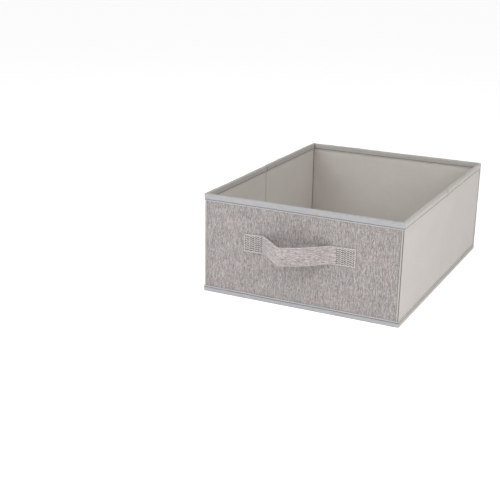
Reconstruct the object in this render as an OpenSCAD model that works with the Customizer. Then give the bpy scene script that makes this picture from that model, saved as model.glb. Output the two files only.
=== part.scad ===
// Collapsible fabric storage bin with an open top: board-stiffened fabric walls bound with tape
// at the rim and the bottom, a sewn strap handle on the front and a loose base insert.
// The side walls fold inwards at mid-depth, and the back wall comes forward as they do.
// Origin at the centre of the underside, +Z up, front (the handle side) towards -Y.

/* [Bin] */
// Outside width of the bin, along X
body_w = 305; // [280:1:330]
// Outside depth of the bin, along Y
body_d = 406; // [380:1:430]
// Outside height of the bin
body_h = 150; // [130:1:200]

/* [Walls] */
// Thickness of the outer fabric cover
cover_t = 0.8; // [0.6:0.1:1.2]
// Thickness of the stiffening board
board_t = 2; // [1.6:0.1:3]
// Thickness of the inner lining
lining_t = 0.6; // [0.4:0.1:1]
// Width of the sewn margin around each board
sewn_margin = 2; // [1:0.5:4]
// Clearance between panels that fold past each other
fold_gap = 0.3; // [0.2:0.1:0.5]
// Height of the lower edge of the folding walls
fold_clear = 4; // [4:0.5:6]

/* [Binding tape] */
// Thickness of the binding tape
tape_t = 0.8; // [0.6:0.1:1]
// Height of the rim binding
rim_h = 11; // [8:0.5:14]
// Height of the bottom binding on the outside
hem_h = 9; // [7:0.5:12]
// Width of the bottom binding on the underside
hem_w = 5; // [4:0.5:8]

/* [Thread] */
// Thickness that the sewing thread stands proud
thread_t = 0.3; // [0.2:0.1:0.3]
// Width of a line of stitching
thread_w = 0.5; // [0.4:0.1:0.8]
// Distance of a stitch line from the edge of its tape
stitch_inset = 1.8; // [1.2:0.1:2.5]
// Length left free of stitches at each end of a panel
stitch_end = 3; // [3:0.5:8]

/* [Handle] */
// Overall width of the handle, along X
handle_w = 170; // [150:1:200]
// Width of each sewn end of the strap
handle_tab = 30; // [24:1:36]
// Width of the strap, along Z
strap_w = 27; // [22:0.5:34]
// Thickness of the strap
strap_t = 2.4; // [2:0.1:3]
// Height of the middle of the strap
handle_z = 87.5; // [70:0.5:100]
// Slant of the strap in degrees, with its right end the higher one
handle_slant = 1.2; // [-3:0.1:3]
// Distance from the front face to the corner that the strap's loop is rounded from
handle_bow = 41; // [20:1:44]
// Where along X that corner is
handle_peak = -13; // [-20:1:20]
// Distance from the front face to the loop's shoulder, right of its fullest point
handle_shoulder = 25; // [12:1:30]
// Where along X the loop comes back to the front face
handle_land = 49; // [36:1:50]
// Thickness of the webbing inside the strap
core_t = 0.8; // [0.6:0.1:1]

/* [Base insert] */
// Clearance around the loose base insert
insert_gap = 0.7; // [0.5:0.1:2]
// Clearance between the insert and the bottom cloth
insert_rest = 0.1; // [0.1:0.1:0.3]
// Thickness of the insert's board
insert_board_t = 2; // [1.5:0.1:2.2]
// Thickness of the fabric round the insert's board
insert_cover_t = 0.4; // [0.3:0.1:0.5]

/* [Hidden] */
WALLS = ["front", "back", "left_front", "left_rear", "right_front", "right_rear"];
PIECES = ["cover", "board", "lining", "rim_binding", "rim_stitches"];
SIDES = ["front", "back", "left", "right"];
HANDS = ["left", "right"];

wall_t = cover_t + board_t + lining_t;
hem_inset = thread_t;                       // outer plane of the bottom binding, from the outside
wall_inset = hem_inset + tape_t + fold_gap; // outer plane of the covers
rim_in = wall_inset + wall_t + tape_t;      // inner plane of the rim binding
panel_x = body_w / 2 - wall_inset;          // outer face of the side covers
panel_y = body_d / 2 - wall_inset;          // outer face of the front and back covers
side_end = body_d / 2 - rim_in - fold_gap;  // the sides stop here, short of the front and back
half_len = side_end - fold_gap;             // length of each half of a side wall
wall_top = body_h - tape_t;
rim_z = body_h - rim_h;

face_y = -panel_y;                          // front face that the handle is sewn to
span = handle_w / 2 - handle_tab;           // half of the strap's free span
bend_steps = 8;                             // segments of each bend in the strap
shoulder_x = 22;                            // where along X the loop's shoulder is
lift_bend = 2.4;                            // reach along the strap of the bend at the loop's left end
peak_bend = 7;                              // the same at the loop's fullest point
shoulder_bend = 18;                         // the same at its shoulder
land_bend = 5;                              // the same where the loop comes back to the face
welt_w = 1.6;                               // width of the piping on the front wall
welt_in = 1.9;                              // distance of that piping from the wall's end
stitch_pitch = 4.4;                         // spacing of the rows on a sewn strap end
stitch_len = 3.4;
stitch_tilt = 38;

linen = "#a79f9c";
plain = "#c4bdb7";
inner = "#b5aea7";
cool_tape = "#b9b8bb";
warm_tape = "#c2bcb5";
card = "#b89b74";
thread = "#d2cdc8";

// Where a wall's own frame sits: X along the wall, Y from its outer face inwards
function wall_place(w) =
    w == "front" ? [-panel_x, -panel_y, 0] :
    w == "back" ? [panel_x, panel_y, 180] :
    w == "left_front" ? [-panel_x, -fold_gap, 270] :
    w == "left_rear" ? [-panel_x, side_end, 270] :
    w == "right_front" ? [panel_x, -side_end, 90] :
    [panel_x, fold_gap, 90];
function across(w) = w == "front" || w == "back";
function wall_len(w) = across(w) ? 2 * panel_x : half_len;
function wall_low(w) = w == "front" ? tape_t : fold_clear;

module on_wall(w) {
    p = wall_place(w);
    translate([p[0], p[1], 0]) rotate([0, 0, p[2]]) children();
}

module wall_cover(w) {
    color(w == "front" ? linen : plain)
        on_wall(w)
            translate([0, 0, wall_low(w)])
                cube([wall_len(w), cover_t, wall_top - wall_low(w)]);
}

module wall_board(w) {
    color(card)
        on_wall(w)
            translate([sewn_margin, cover_t, wall_low(w) + sewn_margin])
                cube([wall_len(w) - 2 * sewn_margin, board_t, wall_top - wall_low(w) - 2 * sewn_margin]);
}

module wall_lining(w) {
    color(inner)
        on_wall(w)
            translate([0, cover_t + board_t, wall_low(w)])
                cube([wall_len(w), lining_t, wall_top - wall_low(w)]);
}

// Tape folded over the top edge of a wall; on the front and back it also wraps the wall's ends
module wall_rim_binding(w) {
    wrap = across(w) ? tape_t : 0;
    color(w == "front" ? cool_tape : warm_tape)
        on_wall(w)
            difference() {
                translate([-wrap, -tape_t, rim_z])
                    cube([wall_len(w) + 2 * wrap, wall_t + 2 * tape_t, rim_h]);
                translate([across(w) ? 0 : -1, 0, rim_z - 1])
                    cube([wall_len(w) + (across(w) ? 0 : 2), wall_t, rim_h + 1 - tape_t]);
            }
}

// One line of thread on each face of the rim binding
module wall_rim_stitches(w) {
    start = across(w) ? rim_in + stitch_end : stitch_end;
    color(thread)
        on_wall(w)
            for (y = [-tape_t - thread_t, wall_t + tape_t])
                translate([start, y, rim_z + stitch_inset])
                    cube([wall_len(w) - 2 * start, thread_t, thread_w]);
}

// Turns a strip drawn for the front so that it lies along another side
module on_side(s) {
    rotate([0, 0, s == "front" ? 0 : s == "right" ? 90 : s == "back" ? 180 : 270]) children();
}
function side_len(s) = s == "front" || s == "back" ? body_w : body_d;
function side_off(s) = s == "front" || s == "back" ? body_d / 2 : body_w / 2;

// Tape folded round the bottom edge; the front and back strips cover the corners
module bottom_binding(s) {
    ends = s == "front" || s == "back" ? hem_inset : hem_inset + tape_t;
    under_ends = s == "front" || s == "back" ? hem_inset : hem_inset + hem_w;
    color(s == "front" ? cool_tape : warm_tape)
        on_side(s) {
            translate([ends - side_len(s) / 2, hem_inset - side_off(s), 0])
                cube([side_len(s) - 2 * ends, tape_t, hem_h]);
            translate([under_ends - side_len(s) / 2, hem_inset - side_off(s), 0])
                cube([side_len(s) - 2 * under_ends, hem_w, tape_t]);
        }
}

module bottom_stitches() {
    color(thread)
        for (s = SIDES)
            on_side(s)
                translate([hem_inset + stitch_end - side_len(s) / 2, -side_off(s), hem_h - stitch_inset])
                    cube([side_len(s) - 2 * (hem_inset + stitch_end), thread_t, thread_w]);
}

module bottom_cover() {
    reach = hem_inset + hem_w;
    color(plain)
        translate([reach - body_w / 2, reach - body_d / 2, 0])
            cube([body_w - 2 * reach, body_d - 2 * reach, tape_t]);
}

// Thread down the inside of the fold at mid-depth, on the front half of the side wall
module fold_seam(h) {
    w = str(h, "_front");
    along = h == "left" ? stitch_end : half_len - stitch_end - thread_w;
    color(thread)
        on_wall(w)
            translate([along, wall_t, fold_clear + hem_h])
                cube([thread_w, thread_t, rim_z - fold_clear - 2 * hem_h]);
}

// Narrow piping up a corner between the two bindings: near the end of the front wall's face, and
// over the end of the back wall
module corner_welt(w, at_start) {
    low = hem_h + fold_gap;
    on_face = w == "front";
    width = on_face ? welt_w : tape_t;
    along = on_face ? welt_in : -tape_t;
    color(plain)
        on_wall(w)
            translate([at_start ? along : wall_len(w) - along - width, on_face ? -tape_t : 0, low])
                cube([width, on_face ? tape_t : wall_t, rim_z - low]);
}

module insert_block(skin) {
    low = tape_t + insert_rest + insert_cover_t;
    reach = rim_in + thread_t + insert_gap + insert_cover_t;
    translate([reach - body_w / 2 - skin, reach - body_d / 2 - skin, low - skin])
        cube([body_w - 2 * (reach - skin), body_d - 2 * (reach - skin), insert_board_t + 2 * skin]);
}

module insert_board() {
    color(card) insert_block(0);
}

module insert_cover() {
    color(plain)
        difference() {
            insert_block(insert_cover_t);
            insert_block(0);
        }
}

// Bend from a towards c in place of the corner at b, starting and ending at distance d from it
function bend(a, b, c, d) =
    let (start = b + (a - b) * d / norm(a - b), end = b + (c - b) * d / norm(c - b))
    [for (i = [0:bend_steps]) let (t = i / bend_steps)
        (1 - t) * (1 - t) * start + 2 * (1 - t) * t * b + t * t * end];

// Centre line of the strap in plan, as [X, distance out from the front face]: flat on the face at
// each sewn end, and between them a four-cornered loop that is fullest left of the middle
function strap_line(trim) =
    let (
        o = strap_t / 2, end = handle_w / 2 - trim,
        a = [-end, o], b = [-span, o], c = [handle_peak, handle_bow - o],
        d = [shoulder_x, handle_shoulder - o], e = [handle_land, o], f = [end, o]
    )
    concat(
        [a], bend(a, b, c, lift_bend), bend(b, c, d, peak_bend), bend(c, d, e, shoulder_bend),
        bend(d, e, f, land_bend), [f]
    );

// Unit vector square to the line at point i
function line_side(p, i) =
    let (a = p[max(i - 1, 0)], b = p[min(i + 1, len(p) - 1)], d = (b - a) / norm(b - a))
    [-d[1], d[0]];

// Frame of the handle: its origin on the front face behind the strap's middle, and X along the strap
module on_handle() {
    translate([0, face_y, handle_z]) rotate([0, -handle_slant, 0]) children();
}

// Upright band of the strap's shape, with thickness t and height h
module strap_band(t, h, trim) {
    p = strap_line(trim);
    last = len(p) - 1;
    on_handle()
        mirror([0, 1, 0])
            linear_extrude(height = h, center = true)
                polygon(concat(
                    [for (i = [0:last]) p[i] + line_side(p, i) * t / 2],
                    [for (i = [last:-1:0]) p[i] - line_side(p, i) * t / 2]
                ));
}

module handle_strap() {
    color("#b5adaa")
        difference() {
            strap_band(strap_t, strap_w, 0);
            strap_band(core_t, strap_w - 4, 2);
        }
}

module handle_core() {
    color("#d8d4cf") strap_band(core_t, strap_w - 4, 2);
}

// Rows of slanted stitches that hold one end of the strap, leaning alternate ways
module handle_stitches(h) {
    centre = (h == "left" ? -1 : 1) * (handle_w - handle_tab) / 2;
    columns = floor((handle_tab - 4) / stitch_pitch);
    rows = floor((strap_w - 4) / stitch_pitch);
    color(thread)
        for (i = [0:columns], j = [0:rows])
            on_handle()
                translate([
                    centre + (i - columns / 2) * stitch_pitch,
                    -strap_t - thread_t / 2,
                    (j - rows / 2) * stitch_pitch
                ])
                    rotate([0, (i % 2 == 0 ? 1 : -1) * stitch_tilt, 0])
                        cube([stitch_len, thread_t, thread_w], center = true);
}

for (w = WALLS) {
    wall_cover(w);
    wall_board(w);
    wall_lining(w);
    wall_rim_binding(w);
    wall_rim_stitches(w);
}
for (s = SIDES) {
    bottom_binding(s);
}
for (h = HANDS) {
    fold_seam(h);
    corner_welt("front", h == "left");
    corner_welt("back", h == "right");
    handle_stitches(h);
}
bottom_cover();
bottom_stitches();
insert_board();
insert_cover();
handle_strap();
handle_core();
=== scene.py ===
"""Fabric storage bin: its cloth, tapes, thread and handle strap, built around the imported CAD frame.

Lengths are in metres. The cloth that runs round the bin is placed by two numbers: s, the distance
round the outside in plan, and n, the distance inwards from the outer face of the covers. s is 0 at
the middle of the front, grows towards the left side and the back, and is negative on the right.
"""

import math

import bmesh
import bpy
import numpy as np
from mathutils import Matrix, Vector


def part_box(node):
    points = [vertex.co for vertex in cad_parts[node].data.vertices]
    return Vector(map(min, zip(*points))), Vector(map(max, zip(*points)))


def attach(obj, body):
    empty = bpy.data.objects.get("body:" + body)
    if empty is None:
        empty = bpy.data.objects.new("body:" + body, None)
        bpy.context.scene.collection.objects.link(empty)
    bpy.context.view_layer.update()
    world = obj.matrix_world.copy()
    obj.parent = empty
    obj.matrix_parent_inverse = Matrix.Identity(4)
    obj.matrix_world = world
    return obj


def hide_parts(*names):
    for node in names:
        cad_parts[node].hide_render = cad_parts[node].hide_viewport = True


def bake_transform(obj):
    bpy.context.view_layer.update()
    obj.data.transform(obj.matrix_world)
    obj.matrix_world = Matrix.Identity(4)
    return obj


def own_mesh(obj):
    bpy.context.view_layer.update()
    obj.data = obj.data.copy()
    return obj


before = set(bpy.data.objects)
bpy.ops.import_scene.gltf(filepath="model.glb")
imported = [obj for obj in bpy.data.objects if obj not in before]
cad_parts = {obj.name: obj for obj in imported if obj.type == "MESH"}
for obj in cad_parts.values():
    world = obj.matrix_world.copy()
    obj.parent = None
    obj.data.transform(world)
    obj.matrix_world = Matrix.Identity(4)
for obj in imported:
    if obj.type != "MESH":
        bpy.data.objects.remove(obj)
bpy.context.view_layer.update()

MM = 0.001

# ---- dimensions, from the CAD frame
cover_low, cover_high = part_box("front_cover")
rim_low, rim_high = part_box("front_rim_binding")
lining_low, lining_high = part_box("front_lining")
hem_low, hem_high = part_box("bottom_binding_front")
side_low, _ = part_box("left_front_cover")
insert_low, insert_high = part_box("insert_cover")
base_low, base_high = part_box("bottom_cover")

HALF_X = cover_high.x  # outer face of the side covers
HALF_Y = -cover_low.y  # outer face of the front and back covers
COVER = cover_high.y - cover_low.y  # thickness of a cover
LINING_OUT = lining_low.y - cover_low.y  # n of the lining's two faces
LINING_IN = lining_high.y - cover_low.y
TAPE = cover_low.y - rim_low.y  # thickness of the binding tape
RIM_IN = rim_high.y - cover_low.y  # n of the rim tape's inner face
TOP = rim_high.z
RIM_Z = rim_low.z
HEM_Z = hem_high.z
HEM_OUT = hem_low.y - cover_low.y  # n of the hem's outer face, negative
HEM_IN = hem_high.y - cover_low.y
WALL_LOW = side_low.z  # lower edge of the folding walls
STITCH_INSET = 2.2 * MM  # from the edge of a tape to its stitch line
STITCH = 2.6 * MM  # length of a stitch
THREAD = 0.26 * MM  # radius of the sewing thread

CORNER = 2.6 * MM  # rounding of the bin's upright corners
FRONT_LEFT = HALF_X  # s of each corner
BACK_LEFT = HALF_X + 2 * HALF_Y
BACK_RIGHT = 3 * HALF_X + 2 * HALF_Y
AROUND = 4 * (HALF_X + HALF_Y)
FOLD = HALF_X + HALF_Y  # s of the fold at mid-depth; the right side's is -FOLD
NEAR_HALF = HALF_X + HALF_Y / 2  # s of the middle of each half of a side wall
FAR_HALF = HALF_X + 1.5 * HALF_Y
BACK_MIDDLE = AROUND / 2
STITCH_PITCH = AROUND / round(AROUND / (3.6 * MM))  # a whole number of stitches goes round
HAIR = 0.05 * MM  # too small a distance to see


# ---- smooth made-up unevenness
def waves(x, y, size, seed, terms=7):
    """Gentle unevenness of about -1 to 1 over x and y, with humps about size across."""
    random = np.random.default_rng(seed)
    total = np.zeros(np.broadcast(x, y).shape)
    for _ in range(terms):
        angle = random.uniform(0, math.pi)
        turns = random.uniform(0.55, 1.5) * math.tau / (2 * size)
        phase = random.uniform(0, math.tau)
        total = total + np.sin(turns * (x * math.cos(angle) + y * math.sin(angle)) + phase)
    return total / math.sqrt(terms)


def hump(x, width):
    """1 at x = 0, falling smoothly to 0 about two widths away."""
    return np.exp(-((x / width) ** 2))


def ease(x):
    """Smooth step from 0 at x = 0 to 1 at x = 1."""
    x = np.clip(x, 0, 1)
    return x * x * (3 - 2 * x)


# ---- the way round the bin, in plan
CORNERS = [(-HALF_X, -HALF_Y), (-HALF_X, HALF_Y), (HALF_X, HALF_Y), (HALF_X, -HALF_Y)]
CORNER_S = [FRONT_LEFT, BACK_LEFT, BACK_RIGHT, BACK_RIGHT + 2 * HALF_Y]
RUNS = [(-1, 0), (0, 1), (1, 0), (0, -1), (-1, 0)]  # direction before and after each corner
INWARD = [(0, 1), (1, 0), (0, -1), (-1, 0), (0, 1)]


def near_corner(s):
    """Number of the corner nearest to s, and how far past it s is (negative before it)."""
    offs = [(s % AROUND) - at for at in CORNER_S]
    k = int(np.argmin(np.abs(offs)))
    return k, offs[k]


def station(s, radius=CORNER):
    """Plan point on the covers' outer face at s, and the inward normal there."""
    k, off = near_corner(s)
    corner = np.array(CORNERS[k], float)
    into, out = np.array(INWARD[k], float), np.array(INWARD[k + 1], float)
    if abs(off) < radius:
        turn = (off + radius) / (2 * radius) * math.pi / 2
        normal = math.cos(turn) * into + math.sin(turn) * out
        return corner + radius * (into + out - normal), normal
    direction = np.array(RUNS[k + (off > 0)], float)
    return corner + direction * off, into if off < 0 else out


def place(s, n, z, radius=CORNER):
    """Points at each n and z at distance s round the bin. Past the rounding they stop at the mitre."""
    base, normal = station(s, radius)
    k, off = near_corner(s)
    mitre = np.array(INWARD[k], float) + np.array(INWARD[k + 1], float)
    flat = base + n[:, None] * normal
    clipped = (n > radius) & (n > abs(off))
    flat = np.where(clipped[:, None], np.array(CORNERS[k]) + n[:, None] * mitre, flat)
    return np.column_stack([flat, z])


BESIDE_CORNER = (-9, -7, -5.6, -4.4, -3.4, 3.4, 4.4, 5.6, 7, 9)  # mm from a corner
BESIDE_FOLD = np.linspace(-6, 6, 17)  # mm from a fold
CLOSEST = 0.1 * MM  # two stations are never closer together than this
ROUNDING = 1e-9


def stations(start, end, step):
    """Values of s from start to end, closer together round the corners and at the folds."""
    found = set(np.linspace(start, end, max(2, round((end - start) / step) + 1)).tolist())
    for turn in (-1, 0, 1):
        for at in CORNER_S:
            found |= {at + turn * AROUND + d for d in np.linspace(-1, 1, 9) * CORNER}
            found |= {at + turn * AROUND + d * MM for d in BESIDE_CORNER}
        for at in (FOLD, AROUND - FOLD):
            found |= {at + turn * AROUND + d * MM for d in BESIDE_FOLD}
    inside = sorted(s for s in found if start - ROUNDING <= s <= end + ROUNDING)
    kept = [inside[0]]
    for s in inside[1:]:
        if s - kept[-1] > CLOSEST:
            kept.append(s)
    kept[-1] = end
    return kept


# ---- meshes
WELD = 0.004 * MM  # points closer than this become one


def put(name, data):
    """A new object in the scene."""
    made = bpy.data.objects.new(name, data)
    bpy.context.scene.collection.objects.link(made)
    return made


def make_piece(name, points, faces, cloth, painted_shade, sharp=50):
    """A smooth-shaded mesh object with its cloth coordinates and its painted shade as attributes."""
    mesh = bpy.data.meshes.new(name)
    mesh.from_pydata([tuple(p) for p in points], [], faces)
    mesh.validate()
    where = mesh.attributes.new("cloth", "FLOAT_VECTOR", "POINT")
    where.data.foreach_set("vector", np.asarray(cloth, np.float32).ravel())
    # painted shade: colour darkened where shade falls in grooves, holes, folds and corners; below 0 it
    # is a painted highlight
    dark = mesh.attributes.new("painted_shade", "FLOAT", "POINT")
    dark.data.foreach_set("value", np.asarray(painted_shade, np.float32).ravel())
    shape = bmesh.new()
    shape.from_mesh(mesh)
    bmesh.ops.remove_doubles(shape, verts=shape.verts, dist=WELD)
    bmesh.ops.dissolve_degenerate(shape, edges=shape.edges, dist=WELD)
    bmesh.ops.recalc_face_normals(shape, faces=shape.faces)
    shape.to_mesh(mesh)
    shape.free()
    mesh.polygons.foreach_set("use_smooth", [True] * len(mesh.polygons))
    mesh.set_sharp_from_angle(angle=math.radians(sharp))
    return put(name, mesh)


def band(name, rows, cloth, painted_shade, closed=False):
    """A closed solid through rows of points, each row one loop of the section."""
    rows = np.asarray(rows)
    count, around = rows.shape[:2]
    faces = []
    for i in range(count if closed else count - 1):
        a, b = i * around, ((i + 1) % count) * around
        for j in range(around):
            k = (j + 1) % around
            faces.append((a + j, a + k, b + k, b + j))
    if not closed:
        faces.append(tuple(range(around))[::-1])
        faces.append(tuple((count - 1) * around + j for j in range(around)))
    points, where = rows.reshape(-1, 3), np.reshape(cloth, (-1, 3))
    return make_piece(name, points, faces, where, np.ravel(painted_shade))


TINT_BEFORE = 1 * MM  # how far before a front corner the cooler colour starts to fade
TINT_FADE = 4 * MM


def tint_at(s):
    """How much of the front's cooler tape colour shows at s: 1 on the front, 0 elsewhere."""
    around = (s + AROUND / 2) % AROUND - AROUND / 2
    return float(1 - ease((abs(around) - FRONT_LEFT + TINT_BEFORE) / TINT_FADE))


def wrap(name, start, end, section, shape, step=4 * MM, closed=False):
    """A band of cloth or tape round the bin from start to end.

    section is its loop of (n, z) points; shape(s, n, z, v) gives how far each point moves in n and
    z and how much shade is painted there, v being the distance round the section.
    """
    n0, z0 = np.array(section).T
    v = np.concatenate([[0], np.cumsum(np.hypot(np.diff(n0), np.diff(z0)))])
    rows, cloth, painted_shade = [], [], []
    path = stations(start, end, step)
    for s in path[:-1] if closed else path:
        dn, dz, dark = shape(s, n0, z0, v)
        rows.append(place(s, n0 + dn, z0 + dz))
        cloth.append(np.column_stack([np.full_like(v, s), v, np.full_like(v, tint_at(s))]))
        painted_shade.append(np.broadcast_to(dark, v.shape))
    return band(name, rows, cloth, painted_shade, closed)


def slab(low, high, outer, inner, step):
    """Loop of a flat layer between z low and high, from n outer to n inner, with a fine outer face."""
    heights = np.linspace(low, high, max(2, round((high - low) / step) + 1))
    return [(outer, z) for z in heights] + [(inner, z) for z in heights[::-1]]


# ---- thread
class Thread:
    """Collects stitches and makes one piece of them."""

    SIDES = 6
    ALONG = (0.0, 0.14, 0.5, 0.86, 1.0)
    HEIGHT = (-0.9, 0.25, 0.6, 0.25, -0.9)  # of the stitch's middle line, in radii
    GIRTH = (0.6, 0.95, 1.1, 0.95, 0.6)
    SHARP = 80  # degrees: only a stitch's ends are sharp

    def __init__(self, radius):
        self.radius = radius
        self.points, self.faces, self.cloth = [], [], []

    def stitch(self, start, end, out):
        """One stitch from start to end, on a surface that faces along out."""
        start, end, out = np.array(start, float), np.array(end, float), np.array(out, float)
        along = end - start
        length = np.linalg.norm(along)
        out = out - along * (out @ along) / length**2
        out = out / np.linalg.norm(out)
        side = np.cross(along / length, out)
        first = len(self.points)
        for t, height, girth in zip(self.ALONG, self.HEIGHT, self.GIRTH):
            middle = start + along * t + out * height * self.radius
            for k in range(self.SIDES):
                angle = math.tau * k / self.SIDES
                ring = math.cos(angle) * out + math.sin(angle) * side
                self.points.append(middle + ring * girth * self.radius)
                self.cloth.append((t * length + first * MM, angle * self.radius, 0))
        last = len(self.ALONG) - 1
        for i in range(last):
            for k in range(self.SIDES):
                a, b = first + i * self.SIDES + k, first + i * self.SIDES + (k + 1) % self.SIDES
                self.faces.append((a, b, b + self.SIDES, a + self.SIDES))
        self.faces.append(tuple(first + k for k in range(self.SIDES))[::-1])
        self.faces.append(tuple(first + last * self.SIDES + k for k in range(self.SIDES)))

    def piece(self, name):
        smooth = np.zeros(len(self.points))
        return make_piece(name, self.points, self.faces, self.cloth, smooth, self.SHARP)


# ---- materials
CREASE_SHADE = 0.72  # how much of its colour the cloth loses where its painted shade is 1
CLOTH_SPECULAR = 0.25


class Finish:
    """Builds one material's nodes from short calls."""

    def __init__(self, name):
        self.material = bpy.data.materials.new(name)
        self.material.use_nodes = True
        self.tree = self.material.node_tree
        self.shader = self.tree.nodes["Principled BSDF"]
        self.u, self.v, self.tint_and_highlight = self.split(self.attribute("cloth", "Vector"))
        self.painted_shade = self.attribute("painted_shade", "Fac")

    def node(self, kind, inputs=(), **settings):
        made = self.tree.nodes.new(kind)
        for key, value in settings.items():
            setattr(made, key, value)
        for key, value in dict(inputs).items():
            if isinstance(value, bpy.types.NodeSocket):
                self.tree.links.new(value, made.inputs[key])
            else:
                made.inputs[key].default_value = value
        return made

    def attribute(self, name, output):
        return self.node("ShaderNodeAttribute", attribute_name=name).outputs[output]

    def split(self, vector):
        return self.node("ShaderNodeSeparateXYZ", {"Vector": vector}).outputs[:]

    def math(self, operation, a, b=0.0, clamp=False):
        made = self.node("ShaderNodeMath", {0: a, 1: b}, operation=operation, use_clamp=clamp)
        return made.outputs[0]

    def noise(self, u_size, v_size, detail=3.0, seed=0.0, rough=0.55):
        """Noise of about -0.5 to 0.5 whose grains are u_size by v_size."""
        u = self.math("DIVIDE", self.u, u_size)
        v = self.math("DIVIDE", self.v, v_size)
        where = self.node("ShaderNodeCombineXYZ", {"X": u, "Y": v, "Z": seed}).outputs[0]
        inputs = {"Vector": where, "Scale": 1.0, "Detail": detail, "Roughness": rough}
        return self.math("SUBTRACT", self.node("ShaderNodeTexNoise", inputs).outputs["Fac"], 0.5)

    def add(self, *terms, offset=None):
        """Sum of (amount, value) pairs, and of an offset."""
        total = 0.0
        for amount, value in terms:
            total = self.math("ADD", total, self.math("MULTIPLY", value, amount))
        return total if offset is None else self.math("ADD", total, offset)

    def ramp(self, value, stops):
        made = self.node("ShaderNodeValToRGB", {"Fac": value})
        stops = list(stops)
        for element, (at, colour) in zip(made.color_ramp.elements, (stops[0], stops[-1])):
            element.position, element.color = at, (*colour, 1)
        for at, colour in stops[1:-1]:
            made.color_ramp.elements.new(at).color = (*colour, 1)
        return made.outputs["Color"]

    def shades(self, value, base, dark, light, ends=(0.0, 1.0)):
        """Ramp between two shades of base, which are base times dark and base times light."""
        factors = zip(ends, (dark, light))
        return self.ramp(value, [(at, tuple(c * by for c in base)) for at, by in factors])

    def ripple(self, value, rate):
        """Rounded ribs of height 0 to 1, one for every pi / rate of value."""
        return self.math("ABSOLUTE", self.math("SINE", self.math("MULTIPLY", value, rate)))

    def mix(self, blend, factor, a, b):
        made = self.node("ShaderNodeMix", data_type="RGBA", blend_type=blend)
        for key, value in (("Factor_Float", factor), ("A_Color", a), ("B_Color", b)):
            socket = next(i for i in made.inputs if i.identifier == key)
            if isinstance(value, bpy.types.NodeSocket):
                self.tree.links.new(value, socket)
            else:
                socket.default_value = value if key == "Factor_Float" else (*value, 1)
        return next(o for o in made.outputs if o.identifier == "Result_Color")

    def yarns(self, u_pitch, v_pitch, wander):
        """Height of a plain weave, 0 to 1, whose yarns wander by a share of their pitch."""
        sines = []
        for at, pitch, du, dv, seed in ((self.u, u_pitch, 9, 30, 3.1), (self.v, v_pitch, 30, 9, 7.7)):
            drift = self.math("MULTIPLY", self.noise(du * pitch, dv * pitch, 2, seed), wander)
            turns = self.math("ADD", self.math("DIVIDE", at, pitch), drift)
            sines.append(self.math("SINE", self.math("MULTIPLY", turns, math.pi)))
        over = self.math("MULTIPLY", self.math("MULTIPLY", *sines), 1.2)
        over = self.math("ADD", over, 0.5, clamp=True)
        under = self.math("SUBTRACT", 1.0, over)
        up, across = [self.math("MULTIPLY", self.math("ABSOLUTE", sine), share)
                      for sine, share in zip(sines, (over, under))]
        return self.math("ADD", up, across)

    def finish(self, colour, height, depth, rough, sheen=0.0, sheen_rough=0.5):
        """Sets colour, darkened by the painted shade, bump of depth metres for a height of 1, roughness
        and sheen.
        """
        # painted shade: darker where the shade attribute is above 0, a painted highlight where it is
        # below 0
        dark = self.math("SUBTRACT", 1.0, self.math("MULTIPLY", self.painted_shade, CREASE_SHADE))
        grey = self.node("ShaderNodeCombineColor", {"Red": dark, "Green": dark, "Blue": dark})
        shaded = self.mix("MULTIPLY", 1.0, colour, grey.outputs[0])
        self.tree.links.new(shaded, self.shader.inputs["Base Color"])
        inputs = {"Height": height, "Distance": depth, "Strength": 1.0}
        bump = self.node("ShaderNodeBump", inputs)
        self.tree.links.new(bump.outputs[0], self.shader.inputs["Normal"])
        self.shader.inputs["Roughness"].default_value = rough
        self.shader.inputs["Specular IOR Level"].default_value = CLOTH_SPECULAR
        self.shader.inputs["Sheen Weight"].default_value = sheen
        self.shader.inputs["Sheen Roughness"].default_value = sheen_rough
        return self.material


def linen(name, lift=1.0, pale=0.0):
    """Coarse heathered cloth: mixed grey-beige yarns, thick and thin, with short upright slubs.

    lift is how much lighter this copy of the cloth is; the strap's lighter copy is painted light for
    the light it catches. pale is a painted highlight: how much lighter the cloth is where its third
    cloth value is 1.
    """
    m = Finish(name)
    flecks = m.noise(0.55 * MM, 4.8 * MM, 3, 0.3, 0.6)
    slubs = m.noise(0.6 * MM, 17 * MM, 3, 5.2, 0.6)
    wefts = m.noise(8 * MM, 0.9 * MM, 3, 9.4, 0.6)
    grains = m.noise(0.85 * MM, 0.95 * MM, 2, 2.5)
    mottle = m.noise(42 * MM, 34 * MM, 2, 6.6)
    weave = m.yarns(0.62 * MM, 0.7 * MM, 0.9)
    tone = m.add((1.65, flecks), (1.0, slubs), (0.4, wefts), (0.6, grains), (0.08, mottle),
                 (0.16, weave), offset=0.42)
    dark, middle, light = (0.095, 0.087, 0.086), (0.315, 0.291, 0.284), (0.60, 0.57, 0.562)
    stops = [(0.02, dark), (0.5, middle), (0.98, light)]
    # lift: a lighter copy of the cloth, painted light
    colour = m.ramp(tone, [(at, tuple(c * lift for c in rgb)) for at, rgb in stops])
    blush = m.math("ADD", m.math("MULTIPLY", mottle, 2.0), 0.35, clamp=True)  # a pinker patch
    colour = m.mix("MULTIPLY", blush, colour, (1.0, 0.965, 0.955))
    # painted highlight where the third cloth value is 1, along the strap's edges and ends
    if pale:
        colour = m.mix("SCREEN", m.math("MULTIPLY", m.tint_and_highlight, pale), colour, (0.5, 0.48, 0.47))
    height = m.add((1.0, weave), (1.6, flecks), (1.2, slubs), (1.0, wefts))
    return m.finish(colour, height, 0.20 * MM, 0.92, 0.12)


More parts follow.
